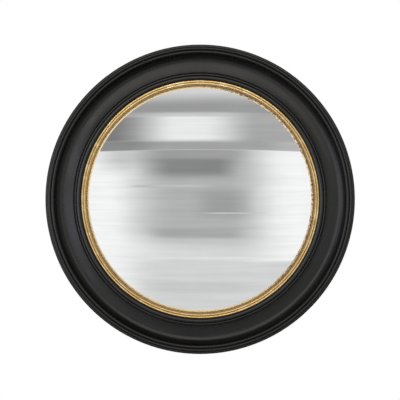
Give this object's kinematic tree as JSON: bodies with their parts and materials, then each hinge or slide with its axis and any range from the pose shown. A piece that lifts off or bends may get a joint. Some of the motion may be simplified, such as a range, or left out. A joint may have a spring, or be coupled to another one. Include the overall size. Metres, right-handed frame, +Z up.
{
  "type": "convex mirror",
  "caption": "Round convex wall mirror with a deep ebonised moulding, a gilt inner slip and a screwed back with swinging hanger rings.",
  "frame": {"origin": "point of the mirror's axis in the wall plane, where the bumpers' faces lie", "axes": "+Z up, +Y from the mirror into the wall, so the glass looks along -Y; +X to the right of a viewer in front"},
  "size_m": [0.6, 0.06, 0.6],
  "materials": {
    "ebonised_wood": "satin black lacquer over fine-grained wood, slightly rubbed",
    "back_stain": "matt black stain",
    "gold_leaf": "rubbed gold leaf over dark red-brown bole",
    "silvered_glass": "polished, silvered behind",
    "black_felt": "dense felt",
    "carrier_board": "machined fibreboard",
    "hardboard": "smooth tempered hardboard",
    "bumper_rubber": "matt moulded rubber",
    "zinc_steel": "zinc plated",
    "button_steel": "stamped and zinc plated, tumbled",
    "bright_steel": "bright drawn wire"
  },
  "bodies": {
    "frame": {"front_moulding": "ebonised_wood", "back_ring": "back_stain", "frame_screws": "zinc_steel", "black_slip": "ebonised_wood", "black_slip_brads": "bright_steel", "gilt_slip": "gold_leaf", "gilt_slip_brads": "bright_steel", "convex_mirror_glass": "silvered_glass", "glass_bedding_strip": "black_felt", "glass_carrier_ring": "carrier_board", "backing_board": "hardboard", "turn_button_screws": "zinc_steel", "hanger_strap_left": "zinc_steel", "hanger_strap_right": "zinc_steel", "hanger_screws": "zinc_steel", "wall_bumpers": "bumper_rubber"},
    "turn_button_1": {"turn_button_1": "button_steel"},
    "turn_button_2": {"turn_button_2": "button_steel"},
    "turn_button_3": {"turn_button_3": "button_steel"},
    "turn_button_4": {"turn_button_4": "button_steel"},
    "turn_button_5": {"turn_button_5": "button_steel"},
    "turn_button_6": {"turn_button_6": "button_steel"},
    "turn_button_7": {"turn_button_7": "button_steel"},
    "turn_button_8": {"turn_button_8": "button_steel"},
    "hanger_ring_left": {"hanger_ring_left": "zinc_steel"},
    "hanger_ring_right": {"hanger_ring_right": "zinc_steel"}
  },
  "joints": [
    {"name": "turn_button_1_swivel", "type": "hinge", "parent": "frame", "child": "turn_button_1", "pos_m": [0, -0.00535, 0.262], "axis": [0, 1, 0], "continuous": true},
    {"name": "turn_button_2_swivel", "type": "hinge", "parent": "frame", "child": "turn_button_2", "pos_m": [0.18526, -0.00535, 0.18526], "axis": [0, 1, 0], "continuous": true},
    {"name": "turn_button_3_swivel", "type": "hinge", "parent": "frame", "child": "turn_button_3", "pos_m": [0.262, -0.00535, 0], "axis": [0, 1, 0], "continuous": true},
    {"name": "turn_button_4_swivel", "type": "hinge", "parent": "frame", "child": "turn_button_4", "pos_m": [0.18526, -0.00535, -0.18526], "axis": [0, 1, 0], "continuous": true},
    {"name": "turn_button_5_swivel", "type": "hinge", "parent": "frame", "child": "turn_button_5", "pos_m": [0, -0.00535, -0.262], "axis": [0, 1, 0], "continuous": true},
    {"name": "turn_button_6_swivel", "type": "hinge", "parent": "frame", "child": "turn_button_6", "pos_m": [-0.18526, -0.00535, -0.18526], "axis": [0, 1, 0], "continuous": true},
    {"name": "turn_button_7_swivel", "type": "hinge", "parent": "frame", "child": "turn_button_7", "pos_m": [-0.262, -0.00535, 0], "axis": [0, 1, 0], "continuous": true},
    {"name": "turn_button_8_swivel", "type": "hinge", "parent": "frame", "child": "turn_button_8", "pos_m": [-0.18526, -0.00535, 0.18526], "axis": [0, 1, 0], "continuous": true},
    {"name": "hanger_ring_left_swing", "type": "hinge", "parent": "frame", "child": "hanger_ring_left", "pos_m": [-0.24503, -0.00322, 0.12485], "axis": [-1, 0, 0], "range_deg": [-4, 175]},
    {"name": "hanger_ring_right_swing", "type": "hinge", "parent": "frame", "child": "hanger_ring_right", "pos_m": [0.24503, -0.00322, 0.12485], "axis": [-1, 0, 0], "range_deg": [-4, 175]}
  ]
}
